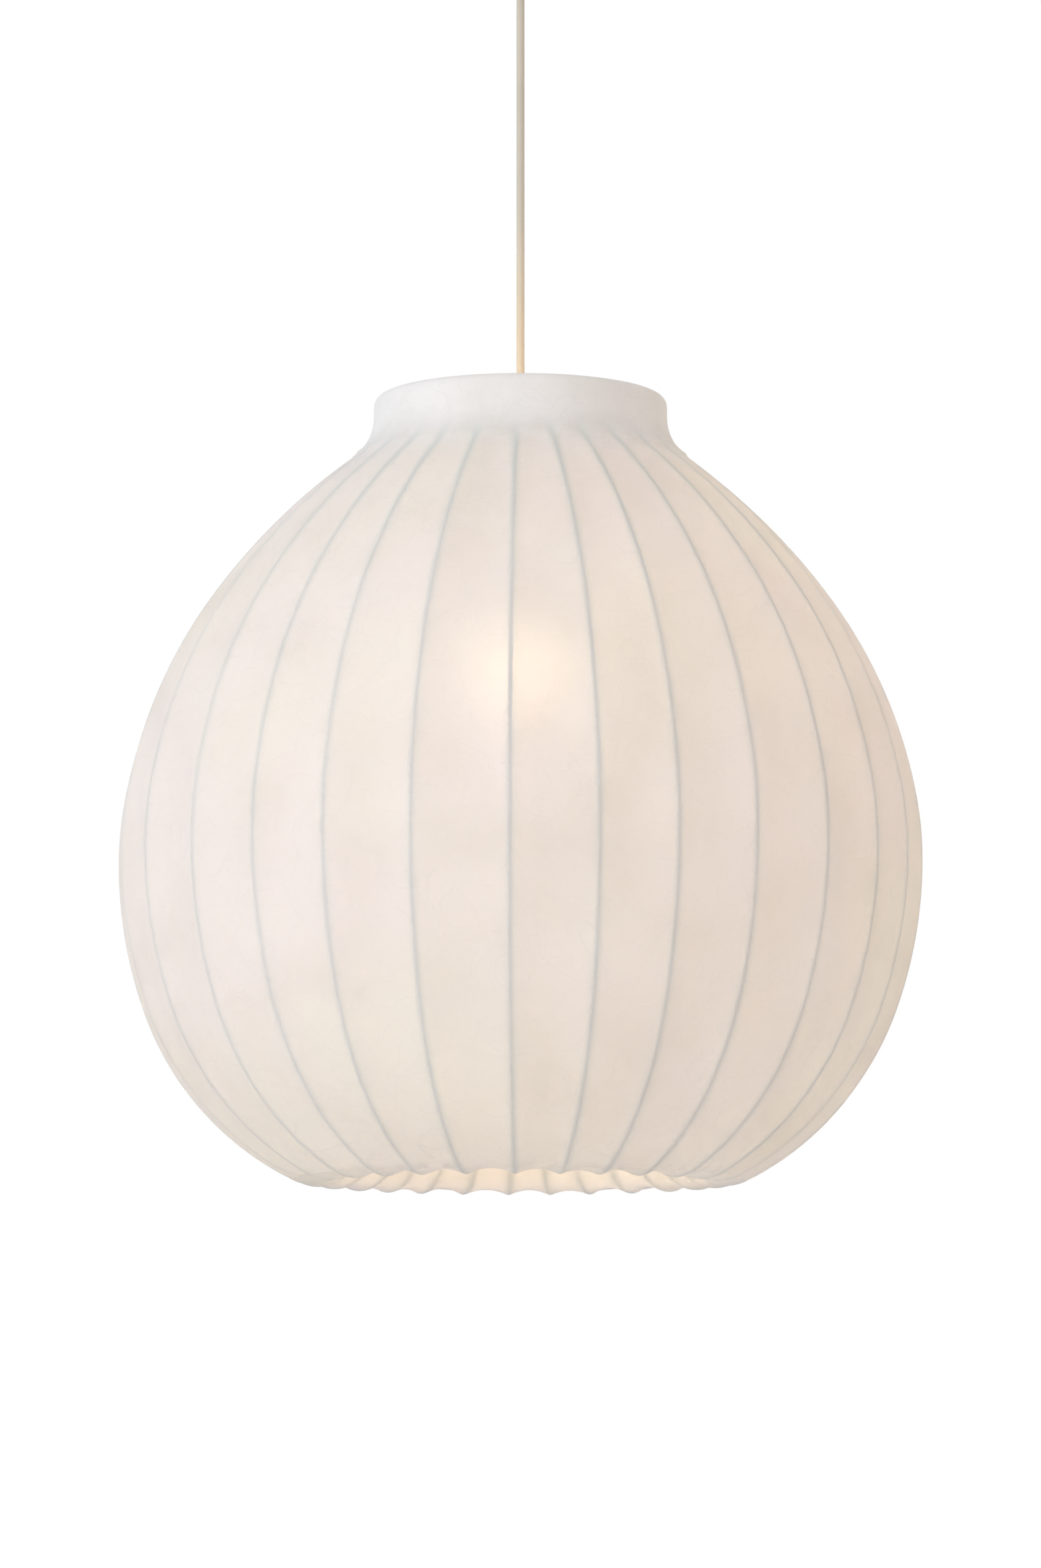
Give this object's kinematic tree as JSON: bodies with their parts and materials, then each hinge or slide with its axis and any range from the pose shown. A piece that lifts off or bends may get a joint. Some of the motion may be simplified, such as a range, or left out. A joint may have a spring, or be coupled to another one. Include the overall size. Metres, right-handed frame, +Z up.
{
  "type": "ribbed pendant lamp",
  "caption": "Round ribbed pendant lamp: white wire ribs under an off-white translucent film, open collar and mouth, on a straight cable from a ceiling canopy.",
  "frame": {"origin": "middle of the ceiling bar's top face, which lies on the ceiling", "axes": "+Z up, away from the lamp and into the ceiling; +X along the ceiling bar; -Y towards the front"},
  "size_m": [0.498, 0.498, 0.817],
  "materials": {
    "white_metal": "satin white paint on steel",
    "zinc_screws": "zinc plated",
    "white_nylon": "moulded, matt",
    "brass_contacts": "drawn brass",
    "cable_sheath": "smooth grey-cream sheath",
    "white_bakelite": "moulded thermoset, semi-gloss",
    "black_glaze": "black glazed insulator",
    "light_board": "light board with warm white emitters",
    "opal": "opal diffusing dome, lit warm",
    "spun_film": "off-white translucent sprayed film with a fine fibre grain"
  },
  "bodies": {
    "ceiling": {"ceiling_bar": "white_metal", "canopy": "white_metal", "canopy_screws": "zinc_screws", "cord_gland": "white_nylon", "gland_cap": "white_nylon", "gland_nut": "white_nylon", "terminal_block": "white_nylon", "terminal_screws": "brass_contacts", "cable_tail": "cable_sheath"},
    "swivel": {"swivel_ball": "white_nylon"},
    "drop": {"cable": "cable_sheath"},
    "lamp": {"cord_grip": "white_nylon", "grip_screw": "zinc_screws", "threaded_nipple": "zinc_screws", "holder_cap": "white_bakelite", "holder_body": "white_bakelite", "contact_insert": "white_bakelite", "screw_shell": "brass_contacts", "centre_contact": "brass_contacts", "spider": "white_metal", "collar_band": "white_metal", "bottom_ring": "white_metal", "shade_skin": "spun_film", "rib_01": "white_metal", "rib_02": "white_metal", "rib_03": "white_metal", "rib_04": "white_metal", "rib_05": "white_metal", "rib_06": "white_metal", "rib_07": "white_metal", "rib_08": "white_metal", "rib_09": "white_metal", "rib_10": "white_metal", "rib_11": "white_metal", "rib_12": "white_metal", "rib_13": "white_metal", "rib_14": "white_metal", "rib_15": "white_metal", "rib_16": "white_metal", "rib_17": "white_metal", "rib_18": "white_metal", "rib_19": "white_metal", "rib_20": "white_metal", "rib_21": "white_metal", "rib_22": "white_metal", "rib_23": "white_metal", "rib_24": "white_metal", "rib_25": "white_metal", "rib_26": "white_metal", "rib_27": "white_metal", "rib_28": "white_metal", "rib_29": "white_metal"},
    "retaining_ring": {"shade_ring": "white_bakelite"},
    "bulb": {"bulb_cap": "zinc_screws", "bulb_insulator": "black_glaze", "bulb_button": "zinc_screws", "bulb_neck": "white_nylon", "light_board": "light_board", "bulb_dome": "opal"}
  },
  "joints": [
    {"name": "swing_front_back", "type": "hinge", "parent": "ceiling", "child": "swivel", "pos_m": [0, 0, -0.053], "axis": [1, 0, 0], "range_deg": [-14, 14]},
    {"name": "swing_left_right", "type": "hinge", "parent": "swivel", "child": "drop", "pos_m": [0, 0, -0.053], "axis": [0, 1, 0], "range_deg": [-14, 14]},
    {"name": "cable_twist", "type": "hinge", "parent": "drop", "child": "lamp", "pos_m": [0, 0, -0.3799], "axis": [0, 0, 1], "range_deg": [-180, 180]},
    {"name": "bulb_unscrew", "type": "hinge", "parent": "lamp", "child": "bulb", "pos_m": [0, 0, -0.434], "axis": [0, 0, -1], "range_deg": [0, 1080]},
    {"name": "shade_ring_unscrew", "type": "hinge", "parent": "lamp", "child": "retaining_ring", "pos_m": [0, 0, -0.4336], "axis": [0, 0, -1], "range_deg": [0, 900]}
  ]
}
